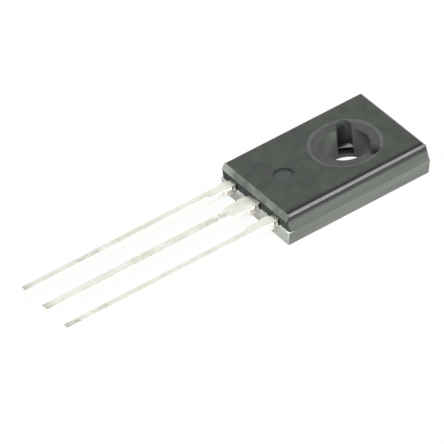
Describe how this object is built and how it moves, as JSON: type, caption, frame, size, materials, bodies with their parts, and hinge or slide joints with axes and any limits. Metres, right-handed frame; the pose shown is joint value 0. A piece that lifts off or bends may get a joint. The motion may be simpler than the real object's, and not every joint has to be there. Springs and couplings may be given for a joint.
{
  "type": "triac",
  "caption": "Flat plastic through-hole triac with a screw hole, a metal-backed mounting face and a row of straight leads; it switches alternating current.",
  "frame": {"origin": "on the axis of the mounting hole, in the plane of the metal-backed mounting face", "axes": "+Z along the mounting hole out of the front face, +Y towards the hole end of the body, leads run to -Y, X across the leads"},
  "size_m": [0.0074, 0.027, 0.0024],
  "materials": {
    "epoxy_body": "fine satin moulded epoxy, near black",
    "tinned_metal": "bright tin plating",
    "silicon": "polished silicon",
    "solder": "dull solder",
    "bond_wire": "bright aluminium wire"
  },
  "bodies": {
    "root": {"moulded_body": "epoxy_body", "centre_lead_and_tab": "tinned_metal", "main_lead": "tinned_metal", "gate_lead": "tinned_metal", "chip": "silicon", "chip_solder": "solder", "main_bond_wire": "bond_wire", "gate_bond_wire": "bond_wire"}
  },
  "joints": []
}
